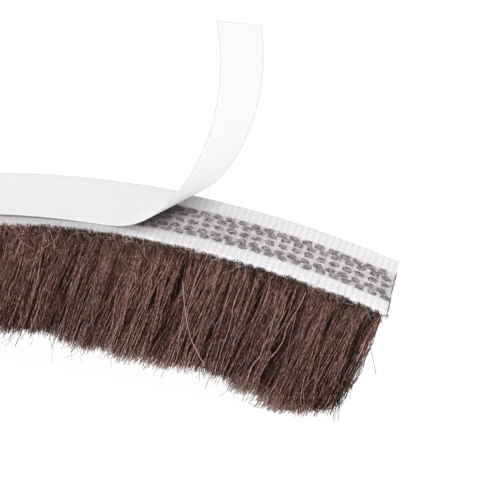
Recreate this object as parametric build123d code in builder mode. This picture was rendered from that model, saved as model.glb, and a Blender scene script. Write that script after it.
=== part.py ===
from build123d import *
from math import acos, cos, degrees, exp, radians, sin
import os

# A self-adhesive brush seal strip, cut square at both ends and standing on its brush.
# All sizes are in millimetres. +X runs along the strip to the peeled end, +Y is the
# far edge of the tape, and +Z is up. The origin lies on the flat of the brush tips,
# under the middle of the strip's length.

# Length of stock
STRIP_LENGTH = 1000.0

# Woven tape
TAPE_WIDTH = 9.0
TAPE_THICKNESS = 0.7
SELVEDGE_RADIUS = 0.25

# Brush: the lean is measured from upright, and the tips' corners are rounded
BRUSH_LENGTH = 19.3
BRUSH_LEAN = 16.0
ROOT_WIDTH = 4.5
TIP_WIDTH = 8.0
SIDE_BULGE = 0.45
TIP_RADIUS = 0.9

# Roll set that stays in the peeled end
ARCH_RADIUS = 91.0
END_SLOPE = 18.9

# Release liner: its peel line crosses the strip at an angle to its length. Ahead of it the
# paper bends about one fold line after another. The angle of the fold lines and the
# radius of the bend each settle from a first value towards a last one, over a length
# of their own.
LINER_WIDTH = 8.0
LINER_THICKNESS = 0.15
PEEL_FROM_END = 29.4
LINER_SHORT_OF_END = 1.9
PEEL_ANGLE = 48.5
LAST_FOLD_ANGLE = 81.0
ANGLE_SETTLES_OVER = 8.1
PEEL_RADIUS = 2.7
LAST_RADIUS = 20.0
RADIUS_SETTLES_OVER = 2.8
FOLD_COUNT = 24
FOLD_CROWDING = 1.6

os.makedirs("parts", exist_ok=True)

# The arch climbs on one arc and passes over the crest on the next, and its cut end
# comes back down to the level it began at
CLIMB_ANGLE = degrees(acos((1 + cos(radians(END_SLOPE))) / 2))
ARCH_LENGTH = radians(2 * CLIMB_ANGLE + END_SLOPE) * ARCH_RADIUS
START_X = -STRIP_LENGTH / 2
SEAT_HEIGHT = BRUSH_LENGTH * cos(radians(BRUSH_LEAN))


def strip_line(rise):
    """The strip's line in its upright plane, a given height above the tape's underside."""
    with BuildLine(Plane.XZ) as line:
        run = Line(
            (START_X, SEAT_HEIGHT + rise),
            (START_X + STRIP_LENGTH - ARCH_LENGTH, SEAT_HEIGHT + rise),
        )
        climb = JernArc(run @ 1, run % 1, ARCH_RADIUS - rise, CLIMB_ANGLE)
        JernArc(climb @ 1, climb % 1, ARCH_RADIUS + rise, -CLIMB_ANGLE - END_SLOPE)
    return line.line


def start_plane(height):
    """The plane of the square-cut far end, with the tape's width along its first axis."""
    return Plane((START_X, 0, height), x_dir=(0, 1, 0), z_dir=(1, 0, 0))


# Woven tape: a flat section with soft selvedges, carried along the strip's line
with BuildPart() as backing:
    with BuildSketch(start_plane(SEAT_HEIGHT)) as tape_section:
        Rectangle(TAPE_WIDTH, TAPE_THICKNESS, align=(Align.CENTER, Align.MIN))
        fillet(tape_section.vertices(), SELVEDGE_RADIUS)
    sweep(path=strip_line(0))
backing.part.label = "backing"

# Brush: it fans out from the roots to the tips. Every fibre leans back by the same
# angle, so the section keeps its direction as it is carried along the strip's line.
lean = radians(BRUSH_LEAN)
strand_plane = Plane(
    (START_X, 0, SEAT_HEIGHT), x_dir=(0, 1, 0), z_dir=(cos(lean), 0, -sin(lean))
)
half_root = ROOT_WIDTH / 2
half_tip = TIP_WIDTH / 2
half_middle = (half_root + half_tip) / 2 + SIDE_BULGE
with BuildPart() as pile:
    with BuildSketch(strand_plane) as brush_section:
        with BuildLine():
            Line((-half_root, 0), (half_root, 0))
            ThreePointArc((half_root, 0), (half_middle, -BRUSH_LENGTH / 2), (half_tip, -BRUSH_LENGTH))
            Line((half_tip, -BRUSH_LENGTH), (-half_tip, -BRUSH_LENGTH))
            ThreePointArc((-half_tip, -BRUSH_LENGTH), (-half_middle, -BRUSH_LENGTH / 2), (-half_root, 0))
        make_face()
        fillet(brush_section.vertices().group_by(Axis.Y)[0], TIP_RADIUS)
    sweep(path=strip_line(0), normal=strand_plane.z_dir)
pile.part.label = "pile"

# Release liner: flat on the tape from the far end to the peel line, with one long edge
# flush with the tape's far edge, and then curled up and back
liner_middle = Vector(0, (TAPE_WIDTH - LINER_WIDTH) / 2, 0)
liner_line = strip_line(TAPE_THICKNESS)
crest_arc = liner_line.edges().sort_by(Axis.X)[-1]
peel_fraction = 1 - PEEL_FROM_END / crest_arc.length
free_length = PEEL_FROM_END - LINER_SHORT_OF_END


def settle(travel, first, last, over):
    """The value that settles from first towards last, at a given travel past the peel line."""
    return last + (first - last) * exp(-travel / over)


def fold_plane(middle, forward, side, travel):
    """The plane across the paper that holds its fold line, with that line as first axis."""
    fold = radians(settle(travel, PEEL_ANGLE, LAST_FOLD_ANGLE, ANGLE_SETTLES_OVER))
    line = forward * cos(fold) + side * sin(fold)
    ahead = forward * sin(fold) - side * cos(fold)
    return Plane(middle, x_dir=line, z_dir=ahead)


def paper_width(plane, side):
    """The length of the fold line that a plane holds, from one long edge to the other."""
    return LINER_WIDTH / plane.x_dir.dot(side)


# The curl is followed along the paper's middle. Between two fold lines the paper turns by
# a small angle about the line halfway. The fold lines crowd together near the peel line,
# and one more lies past the cut end, so that the end can be cut square.
middle = crest_arc @ peel_fraction + liner_middle
forward = crest_arc % peel_fraction
side = Vector(0, 1, 0)
travels = [free_length * (number / FOLD_COUNT) ** FOLD_CROWDING for number in range(FOLD_COUNT + 1)]
travels.append(free_length + LINER_WIDTH / 2)
folds = [(fold_plane(middle, forward, side, 0), side)]
for before, travel in zip(travels, travels[1:]):
    halfway = (before + travel) / 2
    curvature = settle(halfway, 1 / PEEL_RADIUS, 1 / LAST_RADIUS, RADIUS_SETTLES_OVER)
    turn = degrees(curvature * (travel - before))
    hinge = Axis((0, 0, 0), fold_plane(middle, forward, side, halfway).x_dir)
    middle = middle + forward * (travel - halfway)
    forward = forward.rotate(hinge, -turn)
    side = side.rotate(hinge, -turn)
    middle = middle + forward * (halfway - before)
    folds.append((fold_plane(middle, forward, side, travel), side))
    if travel == free_length:
        cut_end = Plane(middle, z_dir=forward)

with BuildPart() as free_end:
    for plane, edge_direction in folds:
        with BuildSketch(plane):
            Rectangle(paper_width(plane, edge_direction), LINER_THICKNESS, align=(Align.CENTER, Align.MIN))
    loft()
    split(bisect_by=cut_end, keep=Keep.BOTTOM)

with BuildPart() as release_liner:
    with BuildSketch(start_plane(SEAT_HEIGHT + TAPE_THICKNESS)):
        with Locations((liner_middle.Y, 0)):
            Rectangle(LINER_WIDTH, LINER_THICKNESS, align=(Align.CENTER, Align.MIN))
    sweep(path=liner_line)
    split(bisect_by=folds[0][0], keep=Keep.BOTTOM)
    add(free_end.part)
release_liner.part.label = "release_liner"

export_step(backing.part, "parts/backing.step")
export_step(pile.part, "parts/pile.step")
export_step(release_liner.part, "parts/release_liner.step")
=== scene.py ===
# %% [markdown]
# # A brush seal strip
# This strip is draught and dust sealing for sliding doors and windows. It is sold on a reel.
# White polypropylene yarn is woven into a narrow tape. Brown pile yarn is woven through the
# middle of it, hangs from one face as a dense brush, and shows on the other face as rows of
# small flecks. That other face is sticky, and a white paper liner covers it.
# The CAD model gives the sizes, and this lesson gives each piece its threads and its finish.

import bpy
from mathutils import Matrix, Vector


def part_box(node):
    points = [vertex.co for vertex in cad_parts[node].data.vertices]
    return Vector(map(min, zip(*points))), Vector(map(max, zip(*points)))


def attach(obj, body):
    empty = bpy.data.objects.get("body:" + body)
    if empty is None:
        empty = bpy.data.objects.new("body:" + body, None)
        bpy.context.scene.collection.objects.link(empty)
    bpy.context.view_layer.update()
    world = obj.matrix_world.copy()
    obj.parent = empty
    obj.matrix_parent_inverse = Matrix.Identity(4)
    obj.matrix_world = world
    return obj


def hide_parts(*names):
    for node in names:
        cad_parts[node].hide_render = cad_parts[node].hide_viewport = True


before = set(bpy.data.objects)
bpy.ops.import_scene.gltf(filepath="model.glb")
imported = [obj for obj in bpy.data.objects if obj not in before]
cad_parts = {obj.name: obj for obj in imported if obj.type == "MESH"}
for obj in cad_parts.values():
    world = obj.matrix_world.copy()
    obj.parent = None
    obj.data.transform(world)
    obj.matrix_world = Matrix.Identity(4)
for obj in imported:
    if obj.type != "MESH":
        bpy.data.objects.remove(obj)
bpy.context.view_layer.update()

import bpy
import numpy as np
from mathutils import Matrix

MM = 0.001
scene = bpy.context.scene
random = np.random.default_rng(19)
# Scatter round a middle value, and an even spread between two ends
scatter, between = random.normal, random.uniform

# %% [markdown]
# ## The sizes that the pieces share
# The CAD part is built from named sizes in millimetres. They are repeated here, because
# every surface below is worked out from them. The box of the tape's node shows whether they
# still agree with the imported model.

# %% Sizes in millimetres
STRIP_LENGTH = 1000.0
TAPE_WIDTH = 9.0
TAPE_THICKNESS = 0.7
SELVEDGE_RADIUS = 0.25
BRUSH_LENGTH = 19.3
BRUSH_LEAN = np.radians(16)
ROOT_WIDTH = 4.5
TIP_WIDTH = 8.0
SIDE_BULGE = 0.45
ARCH_RADIUS = 91.0
END_SLOPE = np.radians(18.9)
LINER_WIDTH = 8.0
PAPER_THICKNESS = 0.06
PEEL_FROM_END = 29.4
LINER_SHORT_OF_END = 1.9

CLIMB_ANGLE = np.arccos((1 + np.cos(END_SLOPE)) / 2)
ARCH_LENGTH = (2 * CLIMB_ANGLE + END_SLOPE) * ARCH_RADIUS
SEAT_HEIGHT = BRUSH_LENGTH * np.cos(BRUSH_LEAN)

# %% [markdown]
# ## The line of the strip
# The reel leaves a set in the free end: the strip runs level, climbs on one arc and passes
# over the crest on the next. A point on it has three coordinates that mean something to a
# weaver: the travel along the tape, the place across it, and the rise above its underside.
# Every piece is drawn in these coordinates first, and then laid on the line.

# %% Travel, across and rise
def strip_line(travel):
    """The line of the tape's underside, and its slope, at a travel from the far end.

    The slope is zero on the level run, grows by travel / radius on the first arc and falls
    by travel / radius on the second. The place adds up the sines and cosines of both.
    """
    climb_start = STRIP_LENGTH - ARCH_LENGTH
    turned = (travel - climb_start) / ARCH_RADIUS
    rising = np.clip(turned, 0, CLIMB_ANGLE)
    falling = np.maximum(turned - CLIMB_ANGLE, 0)
    slope = rising - falling
    x = np.sin(rising) + np.sin(CLIMB_ANGLE) - np.sin(CLIMB_ANGLE - falling)
    z = 1 - np.cos(rising) + np.cos(CLIMB_ANGLE - falling) - np.cos(CLIMB_ANGLE)
    level = np.minimum(travel, climb_start) - STRIP_LENGTH / 2
    return level + ARCH_RADIUS * x, SEAT_HEIGHT + ARCH_RADIUS * z, slope


def on_strip(travel, across, rise):
    """The point at (travel, across, rise): the line's point plus the rise along its normal."""
    x, z, slope = strip_line(np.asarray(travel, float))
    place = [x - rise * np.sin(slope), across + 0 * x, z + rise * np.cos(slope)]
    return np.stack(np.broadcast_arrays(*place), axis=-1)


tape_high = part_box("backing")[1]
edge = on_strip(STRIP_LENGTH, TAPE_WIDTH / 2, TAPE_THICKNESS)
print("cut end, worked out and packed:", edge[0] * MM, tape_high.x)

# %% [markdown]
# ## From arrays to meshes
# Each piece is worked out as whole arrays of points. A grid of points becomes rows of
# four-sided faces. A closed grid wraps round, and its two open ends get one cap each.

# %% Mesh helpers
def grid_faces(rows, columns):
    """Faces of a grid whose columns wrap round, with the number row * columns + column."""
    row, column = np.meshgrid(np.arange(rows - 1), np.arange(columns), indexing="ij")
    beside = (column + 1) % columns
    corners = [row, column], [row, beside], [row + 1, beside], [row + 1, column]
    return np.stack([r * columns + c for r, c in corners], axis=-1).reshape(-1, 4)


def closed_faces(rows, columns):
    """Faces of a grid that wraps round, and the caps over its first and its last row."""
    ring = np.arange(columns)[None, :]
    return [grid_faces(rows, columns), ring[:, ::-1], ring + (rows - 1) * columns]


def make_piece(name, points, faces, material, **values):
    """A mesh object from points in millimetres and a list of face arrays.

    The faces point outwards when the sum over all triangles of a . (b x c) is positive, so
    they are turned round where it is not. Each of the values is kept as a point attribute.
    """
    points = points.reshape(-1, 3)
    fans = [f[:, [0, k, k + 1]] for f in faces for k in range(1, f.shape[1] - 1)]
    a, b, c = np.moveaxis(points[np.concatenate(fans)], 1, 0)
    if np.einsum("ij,ij->", a - points.mean(0), np.cross(b - a, c - a)) < 0:
        faces = [f[:, ::-1] for f in faces]
    mesh = bpy.data.meshes.new(name)
    mesh.vertices.add(len(points))
    mesh.vertices.foreach_set("co", (points * MM).astype(np.float32).ravel())
    corners = np.concatenate([f.ravel() for f in faces]).astype(np.int32)
    sizes = np.concatenate([np.full(len(f), f.shape[1]) for f in faces])
    mesh.loops.add(len(corners))
    mesh.loops.foreach_set("vertex_index", corners)
    mesh.polygons.add(len(sizes))
    mesh.polygons.foreach_set("loop_start", (np.cumsum(sizes) - sizes).astype(np.int32))
    mesh.polygons.foreach_set("use_smooth", sizes <= 4)
    for label, value in values.items():
        kind = "FLOAT" if value.size == len(points) else "FLOAT_VECTOR"
        field = "value" if kind == "FLOAT" else "vector"
        layer = mesh.attributes.new(label, kind, "POINT")
        layer.data.foreach_set(field, value.astype(np.float32).ravel())
    mesh.update(calc_edges=True)
    mesh.materials.append(material)
    piece = bpy.data.objects.new(name, mesh)
    scene.collection.objects.link(piece)
    print(f"{name}: {len(points)} points, {int((sizes - 2).sum())} triangles")
    return piece


# %% [markdown]
# ## Colours and shader nodes
# Colours are written as sRGB hex values, as a paint shop gives them. Blender's shaders work
# on linear light, so one function turns them. Another adds a node with its settings and
# links, and two more add what the materials share, so each is a short list of calls.

# %% Material helpers
PLASTIC_IOR = 1.49


def colour(hex_code):
    """Linear RGBA from an sRGB hex code: c / 12.92 below 0.04045, else a power of 2.4."""
    value = np.array([int(hex_code[k : k + 2], 16) for k in (1, 3, 5)]) / 255
    linear = np.where(value <= 0.04045, value / 12.92, ((value + 0.055) / 1.055) ** 2.4)
    return (*linear.tolist(), 1.0)


def add_node(tree, kind, inputs=None, **settings):
    """A new shader node. A setting is one of its own fields, and an input is what it works on.

    An input is a value, another node's output, or the node itself for its first output.
    """
    node = tree.nodes.new("ShaderNode" + kind)
    for field, value in settings.items():
        setattr(node, field, value)
    for socket, value in (inputs or {}).items():
        value = value.outputs[0] if isinstance(value, bpy.types.Node) else value
        if isinstance(value, bpy.types.NodeSocket):
            tree.links.new(value, node.inputs[socket])
        else:
            node.inputs[socket].default_value = value
    return node


def new_material(name):
    """An empty material with its node tree."""
    material = bpy.data.materials.new(name)
    material.use_nodes = True
    material.node_tree.nodes.clear()
    return material, material.node_tree


def object_noise(tree, stretch, lean, inputs):
    """Noise in the object's own coordinates, times a stretch, along a lean from upright."""
    place = add_node(tree, "TexCoord")
    grown = add_node(tree, "Mapping", {
        "Vector": place.outputs["Object"], "Rotation": (0, -lean, 0), "Scale": stretch,
    })
    return add_node(tree, "TexNoise", {"Vector": grown, **inputs})


def add_surface(tree, inputs):
    """The end of a material: a principled surface, of plastic unless told, and the output."""
    surface = add_node(tree, "BsdfPrincipled", {"IOR": PLASTIC_IOR, **inputs})
    add_node(tree, "OutputMaterial", {"Surface": surface})


def set_stops(ramp, stops):
    """The stops of a colour ramp, as a place and a hex colour each."""
    band = ramp.color_ramp
    for place, code in stops[2:]:
        band.elements.new(place)
    for element, (place, code) in zip(band.elements, sorted(stops)):
        element.position = place
        element.color = colour(code)


# %% [markdown]
# ## The camera
# The photograph looks down at the free end from its near side. The angle comes from how the
# two edges of the tape, its cut end and the curl of the liner lie in the picture. A long
# lens close by gives the strip's slight narrowing towards its far end.

# %% Camera
AZIMUTH = np.radians(14.8)
ELEVATION = np.radians(41)
DISTANCE = 390.0
SENSOR = 36.0
FOCAL_IN_PIXELS = 3370.0
PICTURE_WIDTH = 500
AIM_FROM_END = (-16.8, 0, 1.8)

level = np.cos(ELEVATION)
back = np.array([np.sin(AZIMUTH) * level, -np.cos(AZIMUTH) * level, np.sin(ELEVATION)])
right = np.array([np.cos(AZIMUTH), np.sin(AZIMUTH), 0])
target = on_strip(STRIP_LENGTH, 0, TAPE_THICKNESS) + AIM_FROM_END
place = (target + DISTANCE * back) * MM
camera_data = bpy.data.cameras.new("camera")
camera_data.sensor_width = SENSOR
camera_data.lens = SENSOR * FOCAL_IN_PIXELS / PICTURE_WIDTH
camera = bpy.data.objects.new("camera", camera_data)
axes = np.eye(4)
axes[:3, :3] = np.stack([right, np.cross(back, right), back], axis=1)
axes[:3, 3] = place
camera.matrix_world = Matrix(axes.tolist())
scene.collection.objects.link(camera)
scene.camera = camera
print("lens in millimetres:", round(camera_data.lens, 1))

# %% [markdown]
# ## Light and floor
# The strip was photographed in a white light tent, on nothing but white. The world gives
# that even light. A wide sun stands for the roof panel and gives the small shadows under
# the paper's edge, and three low ones stand for the side panels and light the brush. The
# light of a sun is the same all along a metre of strip, and that of a near lamp is not.
# The floor and the world are white to the camera, and the floor still takes a shadow.

# %% World, suns and floor
AMBIENT = 0.45
FLOOR_HALF = 8000.0
FLOOR_GLOW = 1.04
GLOW_SHARE = 0.93
WHITE = colour("#FFFFFF")

scene.view_settings.view_transform = "Standard"
world = bpy.data.worlds.new("light tent")
scene.world = world
world.use_nodes = True
tree = world.node_tree
tree.nodes.clear()
rays = add_node(tree, "LightPath")
seen = add_node(tree, "Math", {
    0: rays.outputs["Is Camera Ray"], 1: rays.outputs["Is Glossy Ray"],
}, operation="MAXIMUM")
seen = add_node(tree, "Math", {0: seen, 1: rays.outputs["Is Transmission Ray"]}, operation="MAXIMUM")
level = add_node(tree, "MapRange", {"Value": seen, "To Min": AMBIENT})
sky = add_node(tree, "Background", {"Color": WHITE, "Strength": level})
add_node(tree, "OutputWorld", {"Surface": sky})


def add_sun(name, azimuth, elevation, strength, softness):
    """A sun that shines from an azimuth and elevation given as the camera's are."""
    lamp = bpy.data.lights.new(name, "SUN")
    lamp.energy = strength
    lamp.angle = np.radians(softness)
    sun = bpy.data.objects.new(name, lamp)
    sun.rotation_euler = (np.radians(90 - elevation), 0, np.radians(azimuth))
    scene.collection.objects.link(sun)


add_sun("roof panel", 180, 76, 1.32, 60)
add_sun("right panel", 48, 5, 1.62, 12)
add_sun("left panel", -45, 6, 0.85, 12)
add_sun("back panel", 245, 5, 0.9, 12)

floor_material, tree = new_material("white studio floor")
rays = add_node(tree, "LightPath")
paint = add_node(tree, "BsdfDiffuse", {"Color": colour("#F3F3F3")})
glow = add_node(tree, "Emission", {"Color": WHITE, "Strength": FLOOR_GLOW})
share = add_node(tree, "Math", {0: rays.outputs["Is Camera Ray"], 1: GLOW_SHARE}, operation="MULTIPLY")
mixed = add_node(tree, "MixShader", {0: share, 1: paint, 2: glow})
add_node(tree, "OutputMaterial", {"Surface": mixed})
corner = np.array([[-1, -1, 0], [1, -1, 0], [1, 1, 0], [-1, 1, 0]]) * FLOOR_HALF
floor_mesh = bpy.data.meshes.new("floor")
floor_mesh.from_pydata((corner * MM).tolist(), [], [(0, 1, 2, 3)])
floor_mesh.materials.append(floor_material)
floor = bpy.data.objects.new("floor", floor_mesh)
scene.collection.objects.link(floor)

# %% [markdown]
# ## The material of the tape
# The tape is woven from white polypropylene multifilament. The yarn is a bright white with
# a satin gloss, and the hollows between the threads are painted a little greyer, as shade.
# Each thread's own fine filaments are too fine to draw, so they are a soft grain. Between
# the flecks the pile yarn greys the tape, and close to the liner a painted shadow darkens it:
# the shade under the liner's curl and its lifted edge. Both are worked out from the place
# on the flat tape, so that they follow the rows and the slanted peel line.

# %% White polypropylene tape
FLECK_PITCH = 1.535
WEFT_PITCH = FLECK_PITCH / 2
WARP_PITCH = 0.62
# Grey between the flecks, by the distance from the middle of their rows
PILE_ROWS_MIDDLE = -0.28
GREY_BEGINS = 2.6
GREY_FULL = 2.1
GREY_SHARE = 0.62
# Shade beside the liner, by the travel, which the peel line's slant shifts across the tape
PEEL_SLANT = 0.88
SHADE_BEGINS = 975.4
SHADE_FULL = 972.0
SHADE_BETWEEN_FLECKS = 0.25

tape_material, tree = new_material("woven white polypropylene tape")
laid = add_node(tree, "Attribute", attribute_name="laid")
parts = add_node(tree, "SeparateXYZ", {0: laid.outputs["Vector"]})
ribs = []
for output, pitch in (("X", WEFT_PITCH), ("Y", WARP_PITCH)):
    phase = add_node(tree, "Math", {0: parts.outputs[output], 1: 2 * np.pi / pitch}, operation="MULTIPLY")
    wave = add_node(tree, "Math", {0: phase}, operation="COSINE")
    ribs.append(add_node(tree, "MapRange", {
        "Value": wave, "From Min": -1.0, "To Min": 0.6 if output == "Y" else 0.0,
    }))
crossing = add_node(tree, "Math", {0: ribs[0], 1: ribs[1]}, operation="MULTIPLY")
grain = add_node(tree, "TexNoise", {
    "Vector": laid.outputs["Vector"], "Scale": 5.0, "Detail": 3.0, "Roughness": 0.7,
})
height = add_node(tree, "Math", {0: grain, 1: 3.2, 2: crossing}, operation="MULTIPLY_ADD")
# Greyer low in the weave's hollows: painted shade, with the yarn's random grain on top
grain_and_hollow_shade = add_node(tree, "MapRange", {"Value": height, "From Min": 1.0, "From Max": 2.8})
tint = add_node(tree, "ValToRGB", {0: grain_and_hollow_shade})
set_stops(tint, [(0.1, "#E0DDE1"), (0.9, "#F3F1F4")])
dusty = add_node(tree, "ValToRGB", {0: grain})
set_stops(dusty, [(0.40, "#A09A9D"), (0.62, "#DEDBDF")])
from_middle = add_node(tree, "Math", {0: parts.outputs["Y"], 1: -PILE_ROWS_MIDDLE}, operation="ADD")
from_middle = add_node(tree, "Math", {0: from_middle}, operation="ABSOLUTE")
in_pile = add_node(tree, "MapRange", {
    "Value": from_middle, "From Min": GREY_BEGINS, "From Max": GREY_FULL, "To Max": GREY_SHARE,
})
greyed = add_node(tree, "Mix", {"Factor": in_pile, 6: tint, 7: dusty}, data_type="RGBA")
# Painted shadow beside the liner: darkest at and behind the slanted peel line, fading ahead of it, and
# stronger where the pile greys the tape
by_liner = add_node(tree, "Math", {
    0: parts.outputs["Y"], 1: -PEEL_SLANT, 2: parts.outputs["X"],
}, operation="MULTIPLY_ADD")
painted_liner_shade = add_node(tree, "MapRange", {
    "Value": by_liner, "From Min": SHADE_BEGINS, "From Max": SHADE_FULL, "To Max": 1.4,
})
at_flecks = add_node(tree, "Math", {0: in_pile, 1: SHADE_BETWEEN_FLECKS}, operation="ADD")
painted_liner_shade = add_node(tree, "Math", {0: painted_liner_shade, 1: at_flecks}, operation="MULTIPLY", use_clamp=True)
# Mix towards the colour of the painted shadow beside the liner
with_painted_shade = add_node(tree, "Mix", {
    "Factor": painted_liner_shade, 6: greyed.outputs[2], 7: colour("#5E554C"),
}, data_type="RGBA")
bump = add_node(tree, "Bump", {"Height": height, "Strength": 0.5, "Distance": 0.025 * MM})
add_surface(tree, {"Base Color": with_painted_shade.outputs[2], "Roughness": 0.5, "Normal": bump})

# %% [markdown]
# ## The woven tape
# A narrow-fabric loom makes the tape: warp threads run along it and the weft crosses them,
# so that its surface is a grid of small pillows. It could be a flat bar with a bump map,
# but near the free end the pillows catch the light, so there they are real relief. The
# section is a bar with soft selvedges, and it is carried along the strip's line.

# %% Tape
RELIEF = 0.008
SELVEDGE_LOOP = 0.03
RELIEF_FROM = 938.0
RING_PER_WEFT = 8
CUT_SKEW = 0.6


def selvedge_corner(across, rise, start):
    """A quarter circle round a middle: radius times (cosine, sine) of an angle that falls."""
    angle = start - np.linspace(0, np.pi / 2, 5)
    return across + SELVEDGE_RADIUS * np.cos(angle), rise + SELVEDGE_RADIUS * np.sin(angle)


def tape_section():
    """The closed section as (across, rise): near side up, over the top, and back below."""
    half, low = TAPE_WIDTH / 2 - SELVEDGE_RADIUS, SELVEDGE_RADIUS
    high = TAPE_THICKNESS - SELVEDGE_RADIUS
    top = np.linspace(-half, half, 17)[1:-1]
    bottom = np.linspace(half, -half, 9)[1:-1]
    return np.concatenate([
        selvedge_corner(-half, high, np.pi),
        (top, np.full_like(top, TAPE_THICKNESS)),
        selvedge_corner(half, high, np.pi / 2),
        selvedge_corner(half, low, 0),
        (bottom, np.zeros_like(bottom)),
        selvedge_corner(-half, low, -np.pi / 2),
    ], axis=1)


def out_of_square(travel, across):
    """The travel with the scissors' skew: the power 1.5 of the way to the near corner."""
    to_near = np.clip((2.5 - across) / 7, 0, 1) ** 1.5
    return travel + CUT_SKEW * to_near * np.clip((travel - STRIP_LENGTH + 8) / 8, 0, 1)


def tape_surface(travel, across, rise):
    """The section carried along the line. Near the end its top is raised over each weft.

    The ribs are (1 + cosine) / 2 of the travel over the weft's pitch. At the selvedges the
    weft turns back in a loop, |sine| of the travel, so that the edge is a little scalloped.
    """
    fine = np.clip((travel - RELIEF_FROM) / 5, 0, 1)
    on_top = np.clip((rise - TAPE_THICKNESS / 2) / (TAPE_THICKNESS / 2), 0, 1)
    rib = 0.5 + 0.5 * np.cos(2 * np.pi * travel / WEFT_PITCH)
    raised = rise + RELIEF * fine * on_top * (rib - 1)
    at_edge = np.clip((np.abs(across) - TAPE_WIDTH / 2 + 0.3) / 0.3, 0, 1)
    loops = SELVEDGE_LOOP * fine * at_edge * (np.abs(np.sin(np.pi * travel / WEFT_PITCH)) - 1)
    return on_strip(out_of_square(travel, across), across + np.sign(across) * loops, raised)


coarse = np.arange(0, RELIEF_FROM, 5.0)
ring_step = WEFT_PITCH / RING_PER_WEFT
fine = np.linspace(RELIEF_FROM, STRIP_LENGTH, int((STRIP_LENGTH - RELIEF_FROM) / ring_step))
tape_travel = np.concatenate([coarse, fine])
section_across, section_rise = tape_section()
travel, across = np.meshgrid(tape_travel, section_across, indexing="ij")
points = tape_surface(travel, across, section_rise[None, :])
faces = closed_faces(*travel.shape)
laid_at = np.stack([travel, across, np.broadcast_to(section_rise, travel.shape)], axis=-1)
tape = make_piece("woven_tape", points, faces, tape_material, laid=laid_at)
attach(tape, "root")
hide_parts("backing")

# %% [markdown]
# ## The release liner
# The liner is glassine paper with a silicone coat, so that it peels off the adhesive. It
# is smooth, slightly cool white and a little glossy. Paper bends but does not stretch, so
# at each place it is curved in one direction only, which makes a curl look like paper and
# not like cloth. Ahead of the slanted peel line it bends about one straight fold line after
# another. A point is found from its place on the flat paper: which fold line it lies on,
# and where along that line.

# %% Coated paper
# How near to its slit edges the paper is painted darker: painted shade, which takes away the
# bright rim that its thin edge faces would show in the light
SLIT_EDGE = 0.02

paper_material, tree = new_material("white silicone-coated glassine paper")
laid = add_node(tree, "Attribute", attribute_name="laid")
cloud = add_node(tree, "TexNoise", {
    "Vector": laid.outputs["Vector"], "Scale": 0.6, "Detail": 4.0, "Roughness": 0.7,
})
tint = add_node(tree, "ValToRGB", {0: cloud})
set_stops(tint, [(0.3, "#ECEAED"), (0.7, "#EEEDEF")])
bump = add_node(tree, "Bump", {"Height": cloud, "Strength": 0.15, "Distance": 0.03 * MM})
parts = add_node(tree, "SeparateXYZ", {0: laid.outputs["Vector"]})
sideways = add_node(tree, "Math", {0: parts.outputs["Y"]}, operation="ABSOLUTE")
# Painted shade on the paper's slit edges
slit = add_node(tree, "Math", {0: sideways, 1: LINER_WIDTH / 2 - SLIT_EDGE}, operation="GREATER_THAN")
with_painted_shade = add_node(tree, "Mix", {"Factor": slit, 6: tint, 7: colour("#BDB8B6")}, data_type="RGBA")
add_surface(tree, {
    "Base Color": with_painted_shade.outputs[2], "Roughness": 0.42, "IOR": 1.45,
    "Coat Weight": 0.15, "Coat Roughness": 0.3, "Normal": bump,
})

# %% Fold lines of the curl
PEEL_ANGLE = np.radians(48.5)
LAST_FOLD_ANGLE = np.radians(81)
ANGLE_SETTLES_OVER = 8.1
PEEL_RADIUS = 2.7
LAST_RADIUS = 20.0
RADIUS_SETTLES_OVER = 2.8
FOLD_STEP = 0.1
SQUARE_AGAIN_OVER = 20.0
PEEL_TRAVEL = STRIP_LENGTH - PEEL_FROM_END
FREE_LENGTH = PEEL_FROM_END - LINER_SHORT_OF_END
LINER_MIDDLE = (TAPE_WIDTH - LINER_WIDTH) / 2


def settle(travel, first, last, over):
    """The value that settles from first towards last: last + (first - last) exp(-travel / over)."""
    return last + (first - last) * np.exp(-travel / over)


def fold_angle(ahead):
    """Angle of the fold line to the paper's length, at a travel ahead of the peel line.

    Behind the peel line it turns square to the length again, so that the paper's far end is
    cut square: there the cotangent fades out along a cosine.
    """
    angle = settle(np.maximum(ahead, 0), PEEL_ANGLE, LAST_FOLD_ANGLE, ANGLE_SETTLES_OVER)
    fade = 0.5 + 0.5 * np.cos(np.pi * np.clip(-ahead / SQUARE_AGAIN_OVER, 0, 1))
    return np.arctan2(1, fade / np.tan(angle))


def curl():
    """Travel, and the paper's middle point, forward and side, at each fold line of the curl.

    Between two fold lines the paper turns by the curvature times the travel, about the fold
    line halfway. The turns are added up one after another, because each one moves the next.
    """
    ahead = np.arange(0, FREE_LENGTH + LINER_WIDTH / 2, FOLD_STEP)
    middle = on_strip(PEEL_TRAVEL, LINER_MIDDLE, TAPE_THICKNESS)
    slope = strip_line(PEEL_TRAVEL)[2]
    forward, side = np.array([np.cos(slope), 0, np.sin(slope)]), np.array([0.0, 1, 0])
    frames = [(middle, forward, side)]
    for travel in ahead[1:] - FOLD_STEP / 2:
        angle = fold_angle(travel)
        curvature = settle(travel, 1 / PEEL_RADIUS, 1 / LAST_RADIUS, RADIUS_SETTLES_OVER)
        line = forward * np.cos(angle) + side * np.sin(angle)
        turn = np.array(Matrix.Rotation(-curvature * FOLD_STEP, 3, line.tolist()))
        middle = middle + forward * FOLD_STEP / 2
        forward, side = turn @ forward, turn @ side
        middle = middle + forward * FOLD_STEP / 2
        frames.append((middle, forward, side))
    middle, forward, side = np.moveaxis(np.array(frames), 1, 0)
    return ahead, middle, forward, side


curl_ahead, curl_middle, curl_forward, curl_side = curl()
print("fold lines in the curl:", len(curl_ahead))

# %% Points on the paper
FOLD_SEARCHES = 30
EDGE_LIFT = 0.28
RIPPLE_LENGTH = 26.0
RIPPLE_FROM_PEEL = 17.5


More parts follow.
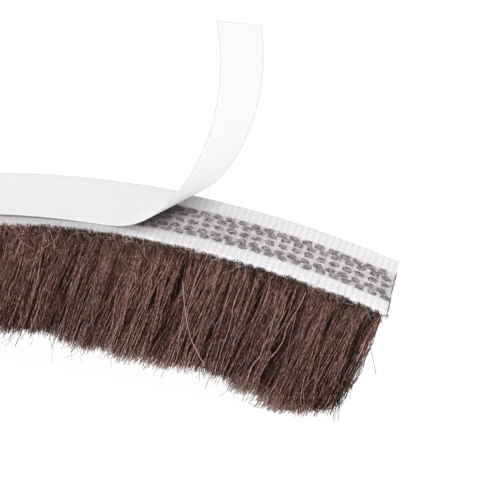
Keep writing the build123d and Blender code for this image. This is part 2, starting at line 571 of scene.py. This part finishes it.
def paper_point(along, sideways, rise):
    """The point at (along, sideways) on the flat paper, a rise above its underside.

    The fold line through the point is found first: it crosses the paper's middle where
    along = crossing + sideways * cotangent of its angle. Behind the peel line the point
    lies on the strip. Ahead of it, it lies on the fold line, from the middle outwards. The
    near edge of the laid paper lifts in a ripple: a cosine of the travel, times a slow one.
    """
    crossing = along
    for search in range(FOLD_SEARCHES):
        crossing = along - sideways / np.tan(fold_angle(crossing))
    ahead = np.clip(crossing, 0, curl_ahead[-1])
    pick = np.minimum(np.floor(ahead / FOLD_STEP).astype(int), len(curl_ahead) - 2)
    part = (ahead / FOLD_STEP - pick)[..., None]
    middle, forward, side = (
        (1 - part) * values[pick] + part * values[pick + 1]
        for values in (curl_middle, curl_forward, curl_side)
    )
    normal = np.cross(forward, side)
    reach = (along - crossing)[..., None]
    curled = middle + forward * reach + side * sideways[..., None] + normal * rise[..., None]
    near = np.clip((-sideways + 0.8) / (LINER_WIDTH / 2 + 0.8), 0, 1) ** 2
    phase = (along + RIPPLE_FROM_PEEL) * 2 * np.pi / RIPPLE_LENGTH
    ripple = 0.55 + 0.45 * np.cos(phase) * np.cos(along / 17)
    lift = EDGE_LIFT * near * ripple * np.clip(-crossing / 6, 0, 1)
    laid = on_strip(PEEL_TRAVEL + along, LINER_MIDDLE + sideways, TAPE_THICKNESS + rise + lift)
    return np.where((crossing > 0)[..., None], curled, laid)


# %% Liner
EDGE = 0.015
half = LINER_WIDTH / 2
flat = np.linspace(-half + EDGE, half - EDGE, 17)
upper = PAPER_THICKNESS
paper_across = np.concatenate([[-half], flat, [half, half], flat[::-1], [-half]])
paper_rise = np.concatenate([
    [upper - EDGE], np.full_like(flat, upper), [upper - EDGE, EDGE], np.zeros_like(flat), [EDGE],
])
rings = np.concatenate([
    np.arange(-PEEL_TRAVEL, -60, 10.0), np.arange(-60, -6, 1.5),
    np.arange(-6, FREE_LENGTH, 0.2), [FREE_LENGTH],
])
along, sideways = np.meshgrid(rings, paper_across, indexing="ij")
rise = np.broadcast_to(paper_rise, along.shape)
points = paper_point(along, sideways, rise)
faces = closed_faces(*along.shape)
laid_at = np.stack([along, sideways, rise], axis=-1)
liner = make_piece("release_paper", points, faces, paper_material, laid=laid_at)
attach(liner, "root")
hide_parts("release_liner")

# %% [markdown]
# ## Tubes from paths
# Every loose thread of the model is a slim tube: the filaments of the brush, those of the
# flecks, and the fuzz. A thread is finer than a pixel, so three sides are enough.

# %% Tubes
def tubes(paths, radius, facing):
    """Points and faces of three-sided tubes along many paths, each closed at both ends.

    At each station the two directions across the path are its tangent crossed with a
    facing direction, and the tangent crossed with that.
    """
    count, stations = paths.shape[:2]
    tangent = np.gradient(paths, axis=1)
    tangent /= np.linalg.norm(tangent, axis=-1, keepdims=True)
    first = np.cross(tangent, facing[:, None, :])
    first /= np.linalg.norm(first, axis=-1, keepdims=True)
    second = np.cross(tangent, first)
    turn = np.arange(3)[:, None] * 2 * np.pi / 3
    spread = np.cos(turn) * first[:, :, None, :] + np.sin(turn) * second[:, :, None, :]
    points = (paths[:, :, None, :] + spread * radius[:, :, None, None]).reshape(count, -1, 3)
    end = 3 * (stations - 1)
    faces = [grid_faces(stations, 3), np.array([[2, 1, 0]]), np.array([[end, end + 1, end + 2]])]
    return points, repeat_faces(faces, count, points.shape[1])


def repeat_faces(faces, count, size):
    """The same faces for a number of copies, each copy's points following the one before."""
    offset = np.arange(count)[:, None, None] * size
    return [(f[None] + offset).reshape(-1, f.shape[1]) for f in faces]


def add_threads(name, paths, radius, shade, material):
    """One piece of many threads, each turned at random about its length, with a shade each.

    The shade has one value at each station of each path, and a ring's three points share it.
    Radius and shade may be given once for all paths, or once for each path.
    """
    radius = np.broadcast_to(radius, paths.shape[:2])
    facing = scatter(0, 0.3, (len(paths), 3)) + (0, 1, 0)
    points, faces = tubes(paths, radius, facing)
    shade = np.broadcast_to(shade, paths.shape[:2])
    piece = make_piece(name, points, faces, material, shade=np.repeat(shade, 3, axis=1))
    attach(piece, "root")


# %% [markdown]
# ## The flecks
# Each tuft of brown pile yarn passes up through the tape, over two wefts and down again.
# The loop on top is a fleck: a low oval of dark filaments, greyed by the clear adhesive
# over it. The flecks lie in five staggered rows. Each is a small dome of few faces, because
# there are thousands. Near the free end the filaments of the loop are threads over it, so
# that its outline is soft. Under the liner the loops are pressed flat. There and just ahead
# of the peel line they are painted darker: painted shade from the liner and its curl.

# %% Pile yarn under adhesive
def yarn_material(name, mixed, stops):
    """The brown yarn as it looks through the adhesive: a speckle, and a shade.

    The shade holds each thread's own tone, and the painted shade near the liner.
    """
    material, tree = new_material(name)
    speckle = object_noise(tree, (1000, 1000, 1000), 0, {"Scale": 5.5, "Detail": 3.0, "Roughness": 0.7})
    shade = add_node(tree, "Attribute", attribute_name="shade")
    value = add_node(tree, "Mix", {"Factor": mixed, 2: speckle, 3: shade.outputs["Fac"]})
    tint = add_node(tree, "ValToRGB", {0: value})
    set_stops(tint, stops)
    bump = add_node(tree, "Bump", {"Height": speckle, "Strength": 0.5, "Distance": 0.05 * MM})
    add_surface(tree, {
        "Base Color": tint, "Roughness": 0.45, "Specular IOR Level": 0.3, "Normal": bump,
    })
    return material


fleck_material = yarn_material("brown pile yarn under clear adhesive", 0.4, [
    (0.30, "#3B322B"), (0.572, "#D2CDD1"), (0.44, "#4C4446"), (0.5, "#908A8D"),
])
loop_material = yarn_material("brown pile filament under clear adhesive", 0.75, [
    (0.0, "#382E27"), (0.8, "#E2DDE1"), (0.17, "#50484A"), (0.42, "#8D8588"),
])

# %% Flecks
FLECK_ROWS = np.array([1.62, 0.86, -0.25, -1.37, -2.15])
FLECK_FROM_END = np.array([1.48, 0.80, 0.85, 1.05, 0.50])
FLECK_HALF_LENGTH = 0.56
FLECK_HALF_WIDTH = 0.37
FLECK_HEIGHT = 0.08
PRESSED_HEIGHT = 0.015


def dome(around=6):
    """A flat-bottomed oval dome: rings of radius r at height 1 - r ** 3, and its two poles.

    The rings are superellipses, (|cos| ** 3 + |sin| ** 3) ** (-1 / 3), so that it is squarish.
    """
    angle = (np.arange(around) + 0.5) * 2 * np.pi / around
    squarish = (np.abs(np.cos(angle)) ** 3 + np.abs(np.sin(angle)) ** 3) ** (-1 / 3)
    radius = np.array([1.0, 0.62])[:, None] * squarish
    rings = [radius * np.cos(angle), radius * np.sin(angle), 1 - (radius / squarish) ** 3]
    ring_points = np.stack(rings, axis=-1).reshape(-1, 3)
    points = np.concatenate([ring_points, [[0, 0, 1], [0, 0, -0.6]]])
    here = np.arange(around)
    after = (here + 1) % around
    crown = np.stack([here + around, after + around, np.full(around, 2 * around)], axis=-1)
    base = np.stack([after, here, np.full(around, 2 * around + 1)], axis=-1)
    return points, [grid_faces(2, around), crown, base]


number = np.arange(int(STRIP_LENGTH / FLECK_PITCH) - 1)
row, number = np.meshgrid(np.arange(5), number, indexing="ij")
row, number = row.ravel(), number.ravel()
fleck_travel = STRIP_LENGTH - FLECK_PITCH * number - FLECK_FROM_END[row]
fleck_travel = fleck_travel + scatter(0, 0.04, len(row))
fleck_across = FLECK_ROWS[row] + scatter(0, 0.03, len(row))
ahead = fleck_travel - PEEL_TRAVEL - (fleck_across - LINER_MIDDLE) / np.tan(PEEL_ANGLE)
height = PRESSED_HEIGHT + (FLECK_HEIGHT - PRESSED_HEIGHT) * np.clip(ahead - 0.3, 0, 1)
# Painted shade: flecks under the liner and just ahead of the peel line are drawn darker, lightening over
# 3 mm
in_light = np.clip((ahead - 1.8) / 3.0, 0, 1)
shape, dome_faces = dome()
size = scatter(1, 0.06, (len(row), 2)) * (FLECK_HALF_LENGTH, FLECK_HALF_WIDTH)
skew = scatter(0, 0.07, len(row))[:, None]
ragged = scatter(1, 0.08, (len(row), len(shape)))
along = shape[:, 0] * size[:, :1] * ragged
sideways = shape[:, 1] * size[:, 1:] * ragged + skew * along
travel = out_of_square(fleck_travel[:, None] + along, fleck_across[:, None])
across = fleck_across[:, None] + sideways
rise = TAPE_THICKNESS - RELIEF / 2 + height[:, None] * shape[:, 2]
points = on_strip(travel, across, rise)
faces = repeat_faces(dome_faces, len(row), len(shape))
shade = np.repeat(0.5 * in_light, len(shape))
flecks = make_piece("pile_backs", points, faces, fleck_material, shade=shade)
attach(flecks, "root")

# %% Threads over the flecks near the end
THREADS_FROM = 962
LOOPS_EACH = 22
seen = np.flatnonzero(fleck_travel > THREADS_FROM)
count = len(seen) * LOOPS_EACH
pick = np.repeat(seen, LOOPS_EACH)
share = np.linspace(-1, 1, 4)
reach = FLECK_HALF_LENGTH * between(0.3, 0.9, (count, 1))
start = FLECK_HALF_WIDTH * between(-1.05, 1.05, (count, 1))
slant = scatter(0, 0.35, (count, 1))
shift = scatter(0, 0.2, (count, 1))
travel = fleck_travel[pick][:, None] + shift + reach * share
across = fleck_across[pick][:, None] + start + slant * reach * share
across = across + scatter(0, 0.035, across.shape)
over = 1 - (start / FLECK_HALF_WIDTH / 1.3) ** 2
rise = TAPE_THICKNESS - 0.02 + (height[pick][:, None] * over + 0.03) * (1 - share ** 2)
paths = on_strip(out_of_square(travel, across), across, rise)
radius = between(0.018, 0.032, (count, 1))
# Each thread's own tone, darkened near the liner by the same painted shade
shade = between(0, 1, (count, 1)) * (0.15 + 0.85 * in_light[pick][:, None])
add_threads("fleck_filaments", paths, radius, shade, loop_material)

# %% [markdown]
# ## The brush
# The brush is thousands of slim polypropylene filaments. They stand in tufts, because each
# fleck's yarn sends two bundles down through the tape. Neighbouring tufts lean a little
# differently, so that dark gaps open between them, and the ends are uneven. One block with
# a hair texture would have the wrong outline and gaps, so each filament in view is a tube.
# A dark core closes the view through the brush, where the real one has more filaments. Its
# colour is painted shade, the shade deep inside the brush, and it is lighter along the run.

# %% Pile fibre
GLINT = 1.9

pile_material, tree = new_material("brown crimped polypropylene pile")
glints = object_noise(tree, (1200, 1200, 420), BRUSH_LEAN, {
    "Scale": 5.0, "Detail": 2.0, "Roughness": 0.65,
})
shade = add_node(tree, "Attribute", attribute_name="shade")
value = add_node(tree, "Math", {0: glints, 1: GLINT, 2: shade.outputs["Fac"]}, operation="MULTIPLY_ADD")
value = add_node(tree, "MapRange", {
    "Value": value, "From Min": GLINT / 2 - 0.04, "From Max": GLINT / 2 + 0.96,
})
tint = add_node(tree, "ValToRGB", {0: value})
set_stops(tint, [
    (0.0, "#130B08"), (1.0, "#C8A69B"), (0.3, "#38241E"), (0.55, "#68483F"), (0.8, "#986F63"),
])
add_surface(tree, {"Base Color": tint, "Roughness": 0.42, "Specular IOR Level": 0.2})

core_material, tree = new_material("shaded inside of the brown pile")
behind = object_noise(tree, (4000, 4000, 200), BRUSH_LEAN, {"Scale": 1.0, "Detail": 2.0})
along_run = add_node(tree, "Attribute", attribute_name="shade")
value = add_node(tree, "Math", {0: behind, 1: 0.6, 2: along_run.outputs["Fac"]}, operation="MULTIPLY_ADD")
tint = add_node(tree, "ValToRGB", {0: value})
set_stops(tint, [(0.21, "#120A07"), (0.85, "#7E5950"), (0.42, "#37251F"), (0.58, "#2E1D18")])
add_surface(tree, {"Base Color": tint, "Roughness": 0.9, "Specular IOR Level": 0.05})

# %% Shape of the brush
CORE_INSET = 1.1
CORE_DEPTH = 0.94
CORE_SIDES = 40
SPRING = 0.8
# Travels near the free end, and the filaments' length there as a share of BRUSH_LENGTH
length_at = [955, 958.6, 965.2, 966.9, 969.2, 970.8, 974.5, 976.8, 978.4, 980.5, 983, 985, 986.7,
             989.5, 991.6, 994.2, 995.9, 998.2, 999.5]
length_share = [0.985, 0.94, 0.96, 1.0, 1.05, 0.995, 1.065, 1.01, 1.06, 1.02, 1.01, 0.965, 1.005,
                1.065, 1.055, 1.13, 1.08, 1.0, 0.92]


def half_width(down):
    """Half the brush's width at a share of its length: the parabola through its three widths.

    Just below the tape the outer filaments spring out further, by SPRING times a rise over
    3% of the length and a fall over 40% of it.
    """
    root, tip = ROOT_WIDTH / 2, TIP_WIDTH / 2
    middle = (root + tip) / 2 + SIDE_BULGE
    spring = SPRING * (1 - np.exp(-down / 0.03)) * np.exp(-down / 0.4)
    straight = root + (4 * middle - 3 * root - tip) * down
    return straight + (2 * root + 2 * tip - 4 * middle) * down ** 2 + spring


def in_brush(travel, share, down):
    """The point a share of the half width across and a share of the length down.

    It starts at the tape's underside and goes down and back at the brush's lean.
    """
    root = on_strip(travel, 0, 0)
    fall = BRUSH_LENGTH * down
    place = [
        root[..., 0] - np.sin(BRUSH_LEAN) * fall,
        share * half_width(down),
        root[..., 2] - np.cos(BRUSH_LEAN) * fall,
    ]
    return np.stack(np.broadcast_arrays(*place), axis=-1)


def core_surface(travel, angle):
    """A rounded-rectangle section, from superellipse powers of cosine and sine, carried along.

    It reaches down to CORE_DEPTH of the filaments' length at each travel.
    """
    c, s = np.cos(angle), np.sin(angle)
    half = CORE_DEPTH / 2 * np.interp(travel, length_at, length_share)
    down = half - half * np.sign(s) * np.abs(s) ** 0.35
    inset = CORE_INSET / half_width(down)
    share = np.sign(c) * np.abs(c) ** 0.35 * (1 - inset)
    return in_brush(travel, share, down)


core_travel = np.concatenate([
    [0.8], np.arange(20, STRIP_LENGTH - 80, 20), np.linspace(920, STRIP_LENGTH - 1.3, 41),
])
angle = np.arange(CORE_SIDES) * 2 * np.pi / CORE_SIDES
travel, angle = np.meshgrid(core_travel, angle, indexing="ij")
points = core_surface(travel, angle)
faces = closed_faces(*travel.shape)
# The core's painted shade is lighter along the run, where fewer filaments stand in front of it
shade = 0.4 * np.clip((950 - travel) / 20, 0, 1)
core = make_piece("pile_core", points, faces, core_material, shade=shade)
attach(core, "root")
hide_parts("pile")

# %% [markdown]
# ## How the filaments lie
# Bristles on a reel are never combed. Four things are random here, each on its own scale:
# neighbouring tufts drift together or apart, which opens the dark gaps; the filaments hold
# together in clumps a third of a millimetre wide, and a clump tilts, bows and wanders as
# one; each filament keeps a small offset from its clump; and the yarn's crimp bends it a
# little every two millimetres. Their lengths wander too, and the brush is shortest at the
# cut end.

# %% Tufts and lengths
TUFT_PITCH = FLECK_PITCH / 2
TUFT_COUNT = int(STRIP_LENGTH / TUFT_PITCH) + 2
TUFT_ROWS = 5
TUFT_CUT = 0.012
# In millimetres: what a tuft, the cut end, a clump and a single filament add
DRIFT = 0.5
END_LEAN = 0.8
END_LEAN_OVER = 14
CLUMP_TILT = 0.5
CLUMP_BOW = 0.16
CLUMP_SPLAY = 0.15
OWN_TILT = 0.4
CRIMP = 0.055
FLOOR_CLEARANCE = 0.05
tuft_noise = scatter(0, 1, (TUFT_COUNT, TUFT_ROWS, 5))
tuft_noise = (tuft_noise + 0.35 * np.roll(tuft_noise, 1, axis=0)) / 1.06
tuft_noise = (tuft_noise + 0.35 * np.roll(tuft_noise, 1, axis=1)) / 1.06


def between_tufts(travel, row, channel):
    """A tuft value at any travel: a straight line between the values of the two tufts beside it."""
    place = np.clip(travel / TUFT_PITCH, 0, TUFT_COUNT - 1.001)
    before = np.floor(place).astype(int)
    part = place - before
    values = tuft_noise[:, :, channel]
    return (1 - part) * values[before, row] + part * values[before + 1, row]


def wander(clumps, stations, step):
    """A random walk down each clump: the running sum of normal steps, zero at the root."""
    walk = np.cumsum(scatter(0, step, (clumps, 1, stations)), axis=-1)
    return walk - walk[..., :1]


def filaments(travel, share, row, each, stations, top):
    """Paths of clumps of filaments: root, then down and back at the lean, fanned out.

    What the clump does is added to all of its filaments: tilt and splay grow with a power of
    the way down, a bow is a sine of it, and the walk is as it comes. A filament's own offset
    and crimp come on top, and near the cut end all tips lie back by up to END_LEAN. A tip is
    cut at its own length and never goes below the floor. The path starts at the root, or at
    a share of the way down that the caller names.
    """
    clumps = len(travel)
    one, every = (clumps, each, 1), (clumps, each, stations)
    cut = 0.015 + np.interp(travel, length_at, length_share)
    cut = cut + TUFT_CUT * between_tufts(travel, row, 2)
    cut = cut[:, None, None] - np.abs(scatter(0, 0.036, one))
    cut = cut + (random.random(one) > 0.97) * between(0, 0.1, one)
    down = (top + (1 - top) * np.linspace(0, 1, stations) ** 0.9) * cut
    paths = in_brush(travel[:, None, None], share[:, None, None], down)
    tilt = DRIFT * between_tufts(travel, row, 0) + scatter(0, CLUMP_TILT, clumps)
    near_cut = (travel - STRIP_LENGTH + END_LEAN_OVER) / END_LEAN_OVER
    tilt = tilt - END_LEAN * np.clip(near_cut, 0, 1)
    bow = 0.22 * between_tufts(travel, row, 1) + scatter(0, CLUMP_BOW, clumps)
    splay = 0.2 * between_tufts(travel, row, 3) + scatter(0, CLUMP_SPLAY, clumps)
    sprung = np.minimum(6 * down, 1)
    arc = np.sin(np.pi * down)
    own = scatter(0, 0.13, one) + scatter(0, OWN_TILT, one) * down
    own = own + np.cumsum(scatter(0, 0.09, every), axis=-1) * (each > 1)
    own = own + scatter(0, 0.12, one) * arc
    paths[..., 0] += tilt[:, None, None] * down ** 1.2 + bow[:, None, None] * arc
    paths[..., 0] += wander(clumps, stations, 0.12) + own + scatter(0, CRIMP, every) * sprung
    own = scatter(0, 0.07, one)
    fanned = scatter(0, 0.12, one) * down
    paths[..., 1] += splay[:, None, None] * down ** 1.3 + own + fanned
    paths[..., 1] += wander(clumps, stations, 0.03) + scatter(0, 0.03, every) * sprung
    paths[..., 0, 2] += 0.2 * (top == 0)
    paths[..., 2] = np.maximum(paths[..., 2], FLOOR_CLEARANCE)
    return paths, down, own[..., 0]


SHADOW = 0.8
SHADOW_DEPTH = 0.17


def add_filaments(name, planted, each, stations, width, top=0):
    """One mesh of filaments, each with its own shade, and painted light that makes it lighter at the
    tips.

    The shade falls by SHADOW times 1 - exp(-depth / SHADOW_DEPTH): a filament a little behind
    its neighbours is already in their shadow. Light gets in between the tips and halves it.
    Near its root each filament is also painted darker, with the shade under the tape.
    """
    travel, share, row, depth = planted
    paths, down, offset = filaments(travel, share, row, each, stations, top)
    paths, down = paths.reshape(-1, stations, 3), down.reshape(-1, stations)
    count = len(paths)
    taper = np.linspace(1, 0.65, stations)
    radius = between(0.6, 1.2, (count, 1)) * width / 2 * taper
    paths[..., 2] = np.maximum(paths[..., 2], radius + 0.02)
    behind = np.maximum(depth[:, None] - np.sign(share)[:, None] * offset, 0).reshape(-1, 1)
    shade = 0.80 + 0.04 * between_tufts(travel, row, 4)
    buried = SHADOW * (1 - np.exp(-behind / SHADOW_DEPTH)) * (1 - 0.55 * down ** 10)
    shade = np.repeat(shade, each)[:, None] - buried
    # Each filament's own tone, and painted light towards the tips, where more light gets in between them
    shade = shade + scatter(0, 0.15, (count, 1)) + 0.04 * down ** 4 + 0.15 * down ** 20
    # Painted shade at the roots, under the tape, deeper in some tufts than in others
    root_shade = 0.3 + 0.25 * between_tufts(travel, row, 1)
    shade = shade - np.repeat(root_shade, each)[:, None] * np.exp(-down / 0.05)
    shade = shade + 0.12 * (random.random((count, 1)) > 0.96)
    add_threads(name, paths, radius, np.clip(shade, 0, 1.2), pile_material)


# %% [markdown]
# ## Where the filaments stand
# Only the outer layer of the brush is seen, so the filaments stand there, round the core.
# They are thinnest at the free end, where short ones also fill the gaps between the tips.
# Both end faces have clumps of their own, and the long run has fewer, thicker filaments.

# %% Planting
LAYER = 0.9
CUT_CLUMPS = 220
FAR_CLUMPS = 200


def plant(first, last, per_mm, near_part, shallow=0, deep=LAYER):
    """Travel, share across, row and depth in millimetres of clumps between two travels.

    They stand around their tufts, in a layer of the brush's near and far side.
    """
    count = int((last - first) * per_mm)
    side = np.where(random.random(count) < near_part, -1, 1)
    depth = between(shallow, deep, count)
    row = 2 - side * np.where(random.random(count) < depth / 2, 1, 2)
    number = np.floor(between(first, last, count) / TUFT_PITCH)
    centre = (number + 0.5 + 0.5 * (row % 2)) * TUFT_PITCH
    travel = np.clip(centre + scatter(0, 0.26, count), 0.05, STRIP_LENGTH - 0.05)
    return travel, side * (1.02 - depth / 3.6), row, depth


def plant_face(clumps):
    """Depth behind a cut face, share across and row of clumps that stand along the face."""
    inwards = np.abs(scatter(0, 0.5, clumps))
    share = between(-1, 1, clumps)
    return inwards, share, np.clip(np.round(2 - 2 * share), 0, 4).astype(int)


END_FROM = 948.0
MIDDLE = (END_FROM + STRIP_LENGTH) / 2
add_filaments("pile_near_end_1", plant(END_FROM, MIDDLE, 22, 1.0), 4, 12, 0.12)
add_filaments("pile_near_end_2", plant(MIDDLE, STRIP_LENGTH, 22, 1.0), 4, 12, 0.12)
add_filaments("pile_tips_end", plant(END_FROM, STRIP_LENGTH, 9, 1.0, 0.6, 2.2), 4, 5, 0.12, 0.72)
add_filaments("pile_far_end", plant(END_FROM, STRIP_LENGTH, 9, 0.0), 4, 6, 0.15)
inwards, share, row = plant_face(CUT_CLUMPS)
add_filaments("pile_cut_face", (STRIP_LENGTH - 0.05 - inwards, share, row, inwards), 4, 12, 0.12)
add_filaments("pile_run_1", plant(0, END_FROM / 2, 12, 0.5), 1, 3, 0.33)
add_filaments("pile_run_2", plant(END_FROM / 2, END_FROM, 12, 0.5), 1, 3, 0.33)
inwards, share, row = plant_face(FAR_CLUMPS)
add_filaments("pile_far_face", (0.1 + inwards, share, row, inwards), 3, 4, 0.25)

# %% [markdown]
# ## Stray filaments
# A few filaments have sprung loose and cross over the others, and one long hair crosses
# them all near the free end. They are tubes as in the brush, but they root at its surface
# and slant by their own amount.

# %% Strays
STRAYS = 240
HAIR_STATIONS = 12
HAIR_BOW = 0.6
travel = between(953, 998, STRAYS)
share = scatter(-1.03, 0.03, STRAYS)
down = np.linspace(0, 1, 10) * between(0.5, 1.08, (STRAYS, 1))
paths = in_brush(travel[:, None], share[:, None], down)
paths[..., 0] += scatter(0, 2.0, (STRAYS, 1)) * down
paths[..., 0] += scatter(0, 0.7, (STRAYS, 1)) * np.sin(np.pi * down)
paths[..., 1] -= 0.35 * np.sin(np.pi * np.clip(down, 0, 1))
paths[..., 2] = np.maximum(paths[..., 2], FLOOR_CLEARANCE)
add_threads("stray_filaments", paths, 0.03, between(0.3, 0.85, (STRAYS, 1)), pile_material)
way = np.linspace(0, 1, HAIR_STATIONS)
hair_root = np.interp(way, [0, 0.33, 0.67, 1], [977.4, 979.5, 981.4, 983.5])
hair_down = np.interp(way, [0, 0.33, 0.67, 1], [0.28, 0.51, 0.72, 0.90])
path = in_brush(hair_root, -1.07, hair_down)[None] - (0, 0.3, 0)
path[..., 0] -= HAIR_BOW * np.sin(np.pi * way)
add_threads("crossing_hair", path, 0.05, 1.2, pile_material)

# %% [markdown]
# ## Fuzz along the edges
# Where the pile leaves the tape, broken filament ends curl up against the selvedge. They
# are pale, because so little light is lost between them. Others are dark, straighter and
# denser: they climb the tape's side and cover its white edge up to a ragged line. Each is a
# short path that turns steadily and wobbles.

# %% Fuzz material
fuzz_material, tree = new_material("loose ends of the pile")
shade = add_node(tree, "Attribute", attribute_name="shade")
tint = add_node(tree, "ValToRGB", {0: shade.outputs["Fac"]})
set_stops(tint, [(0.0, "#3F2C26"), (1.0, "#D3C2BA"), (0.5, "#8A7066")])
add_surface(tree, {"Base Color": tint, "Roughness": 0.45, "Specular IOR Level": 0.3})

# %% Curled ends
# Travels where the fine hairs begin, and those on the side of the bare tape
FUZZ_FROM = 940
BARE_FROM = 958


def curled(root, heading, turning, length, out, stations):
    """Paths that start at a root and turn steadily: steps along (sine, -cosine) of the heading.

    The heading is an angle in the upright plane along the strip, zero for straight down. The
    path also bows outwards, by its own amount, as the square of its length.
    """
    count = len(root)
    share = np.linspace(0, 1, stations)
    angle = heading[:, None] + turning[:, None] * share + scatter(0, 0.2, (count, stations))
    step = (length / (stations - 1))[:, None]
    walk = np.stack([np.sin(angle), np.zeros_like(angle), -np.cos(angle)], axis=-1)
    walk = np.cumsum(walk * step[..., None], axis=1)
    walk -= walk[:, :1]
    walk[..., 1] += out[:, None] * share ** 2 + scatter(0, 0.03, (count, stations)) * share
    return root[:, None, :] + walk


notches = between(-0.14, 0.08, 60)


def add_fuzz(name, first, last, count, side, stations, width, curliness, lightness,
             mean_length=1.3, climb=(0, 0), material=None):
    """Curled ends between two travels, along the strip's near edge (-1) or its far edge (1).

    They root just under the tape, or climb its side by an even spread between two heights,
    which is a little more or less in each millimetre of travel, by that place's notch.
    """
    travel = between(first, last, count)
    rise = scatter(-0.12, 0.07, count) + between(*climb, count)
    rise = rise + notches[travel.astype(int) % len(notches)] * (rise > 0)
    across = 4.05 + scatter(0, 0.18, count) + 0.48 * np.clip((rise + 0.05) / 0.2, 0, 1)
    root = on_strip(travel, side * across, rise)
    heading = scatter(0, 0.6 * curliness, count)
    turning = scatter(0, 1.3 * curliness, count)
    length = random.gamma(5, mean_length / 5, count)
    out = side * np.abs(scatter(0.1, 0.15, count))
    paths = curled(root, heading, turning, length, out, stations)
    radius = between(0.7, 1.2, (count, 1)) * width / 2 * np.linspace(1, 0.6, stations)
    shade = np.clip(scatter(lightness, 0.2, (count, 1)), 0, 1)
    add_threads(name, paths, radius, shade, material or fuzz_material)


end = STRIP_LENGTH
add_fuzz("fuzz_near_end", BARE_FROM, end - 0.5, 420, -1, 6, 0.06, 1.1, 0.78, 0.9, (0.1, 0.8))
add_fuzz("fuzz_by_liner", FUZZ_FROM, 974, 460, -1, 6, 0.1, 0.35, 0.5, 3.0, (0.4, 0.8), pile_material)
# Their low lightness is painted shade, as at the roots of the brush under the tape
add_fuzz("fuzz_near_edge", BARE_FROM, end - 0.3, 760, -1, 4, 0.1, 0.4, 0.24, 1.4, (0.5, 0.72),
         pile_material)
add_fuzz("fuzz_by_liner_light", FUZZ_FROM, 975, 220, -1, 6, 0.055, 1.2, 0.75, 1.0, (0, 0.75))
add_fuzz("fuzz_far_end", FUZZ_FROM, end - 2, 200, 1, 6, 0.06, 1.0, 0.5, 0.9)
for side, name in ((-1, "fuzz_near_run"), (1, "fuzz_far_run")):
    add_fuzz(name, 0, FUZZ_FROM, 700, side, 4, 0.12, 1.0, 0.5)

# %% [markdown]
# ## Loose ends at the tips and at the cut
# Pale wisps hang a little below the uneven tips. Where the scissors went through, a few
# loose filaments lie along the tape's edge. Both follow the line that they come from.

# %% Wisps below the tips
WISPS = 200
travel = 951 + 41 * random.random(WISPS) ** 1.5
tip = np.interp(travel, length_at, length_share) + random.gamma(2, 0.03, WISPS)
down = tip[:, None] - np.linspace(0.2, 0, 6)
share = between(-1.1, 0, WISPS)
paths = in_brush(travel[:, None], share[:, None], down)
paths[..., 0] += scatter(0, 1.2, (WISPS, 1)) * np.linspace(0, 1, 6) ** 2
paths[..., 2] = np.maximum(paths[..., 2], FLOOR_CLEARANCE)
add_threads("tip_wisps", paths, 0.022, between(0.4, 1, (WISPS, 1)), fuzz_material)

# %% Frays on the cut end
FRAYS = 70
share = np.linspace(0, 1, 7)
start = between(-4.5, 2.4, (FRAYS, 1))
across = np.clip(start + scatter(0, 1.1, (FRAYS, 1)) * share, -4.75, 2.8)
bow = 0.05 + np.abs(scatter(0, 0.1, (FRAYS, 1))) * np.sin(np.pi * share)
rise = between(0.0, 0.75, (FRAYS, 1)) + scatter(0, 0.2, (FRAYS, 1)) * share
paths = on_strip(out_of_square(STRIP_LENGTH, across) + bow, across, rise)
paths += scatter(0, 0.03, paths.shape)
add_threads("cut_end_frays", paths, 0.032, between(0, 0.6, (FRAYS, 1)), fuzz_material)
